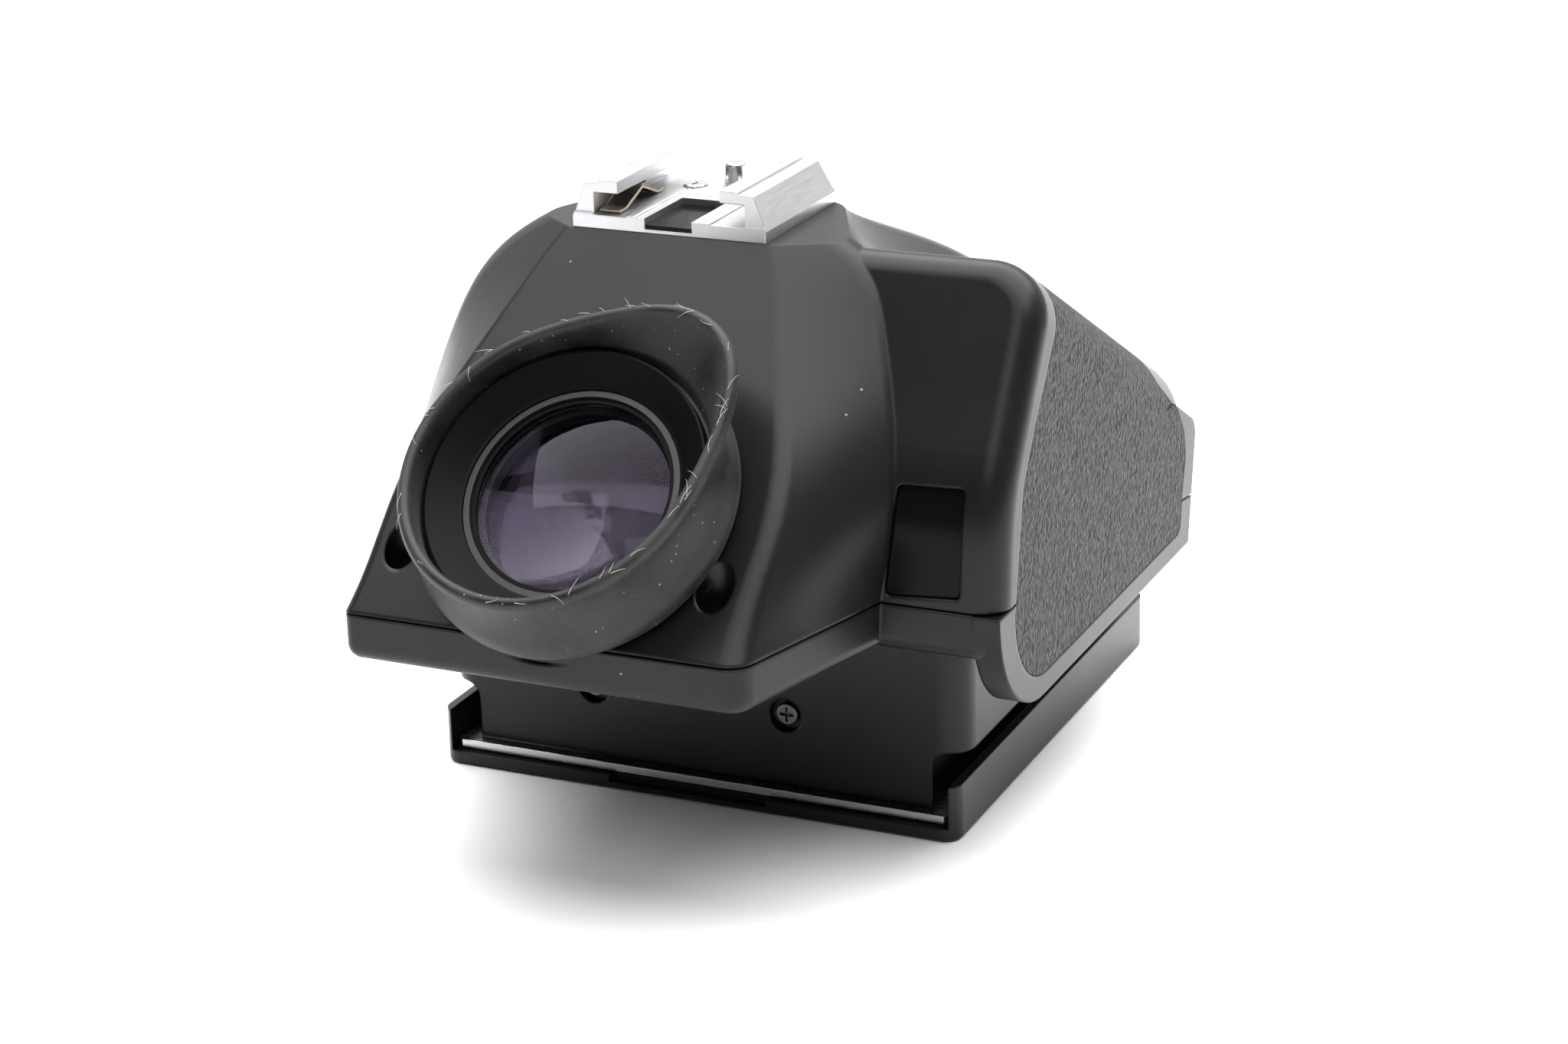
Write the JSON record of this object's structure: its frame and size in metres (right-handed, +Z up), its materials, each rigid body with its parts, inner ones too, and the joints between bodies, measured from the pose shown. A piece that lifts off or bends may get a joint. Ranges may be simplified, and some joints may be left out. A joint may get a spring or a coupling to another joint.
{
  "type": "camera prism viewfinder",
  "caption": "Sloped prism viewfinder housing with a rubber eyecup, an accessory shoe and a side compartment, standing on its slide-on base cover.",
  "frame": {"origin": "centre of the underside of the base cover, which rests on the table", "axes": "+X to the user's right, +Y forward, away from the eyepiece, +Z up"},
  "size_m": [0.0848, 0.1139, 0.075],
  "materials": {
    "body_paint": "satin",
    "leather": "fine grain",
    "panel_gloss": "glossy",
    "shoe_alloy": "satin",
    "bright_steel": "bright",
    "spring_metal": "satin",
    "dark_steel": "blackened",
    "plate_steel": "bright edge",
    "prism_glass": "polished",
    "window_glass": "polished",
    "lens_glass": "coated",
    "soft_pad": "matte",
    "inner_black": "matte",
    "ring_black": "matte",
    "rubber": "dusty matte",
    "cover_gloss": "glossy"
  },
  "bodies": {
    "finder": {"upper_shell": "body_paint", "lower_shell": "body_paint", "leather_right": "leather", "leather_left": "leather", "wing_blank_plate": "panel_gloss", "accessory_shoe": "shoe_alloy", "shoe_screws": "bright_steel", "shoe_stop_pin": "bright_steel", "shoe_leaf_spring": "spring_metal", "shoe_insert": "panel_gloss", "rear_wall_screws": "dark_steel", "face_screws": "dark_steel", "finder_plate": "plate_steel", "plate_screws": "dark_steel", "prism": "prism_glass", "prism_pads": "soft_pad", "prism_frame": "dark_steel", "frame_screws": "dark_steel", "prism_strap": "spring_metal", "strap_screws": "dark_steel", "strap_pad": "soft_pad", "light_baffle": "inner_black", "bottom_window": "window_glass", "window_gasket": "soft_pad", "eyepiece_barrel": "inner_black"},
    "cover": {"base_cover": "cover_gloss"},
    "eyecup": {"eyecup": "rubber"},
    "dioptre": {"dioptre_ring": "ring_black"},
    "lens_group": {"lens_cell": "inner_black", "lens_retainer": "ring_black", "lens_spacer": "inner_black", "eye_lens": "lens_glass", "inner_lens": "lens_glass"}
  },
  "joints": [
    {"name": "cover_slide", "type": "slide", "parent": "finder", "child": "cover", "axis": [0, 1, 0], "range_m": [0, 0.07]},
    {"name": "eyecup_turn", "type": "hinge", "parent": "finder", "child": "eyecup", "pos_m": [0, -0.05894, 0.04544], "axis": [0, -0.7145, 0.6997], "continuous": true},
    {"name": "dioptre_turn", "type": "hinge", "parent": "finder", "child": "dioptre", "pos_m": [0, -0.05894, 0.04544], "axis": [0, -0.7145, 0.6997], "range_deg": [-75, 75]},
    {"name": "lens_slide", "type": "slide", "parent": "finder", "child": "lens_group", "axis": [0, -0.7145, 0.6997], "range_m": [-0.001, 0.001]}
  ],
  "couplings": [
    {"joint": "lens_slide", "follows": "dioptre_turn", "m_per_rad": 0.00076387}
  ]
}
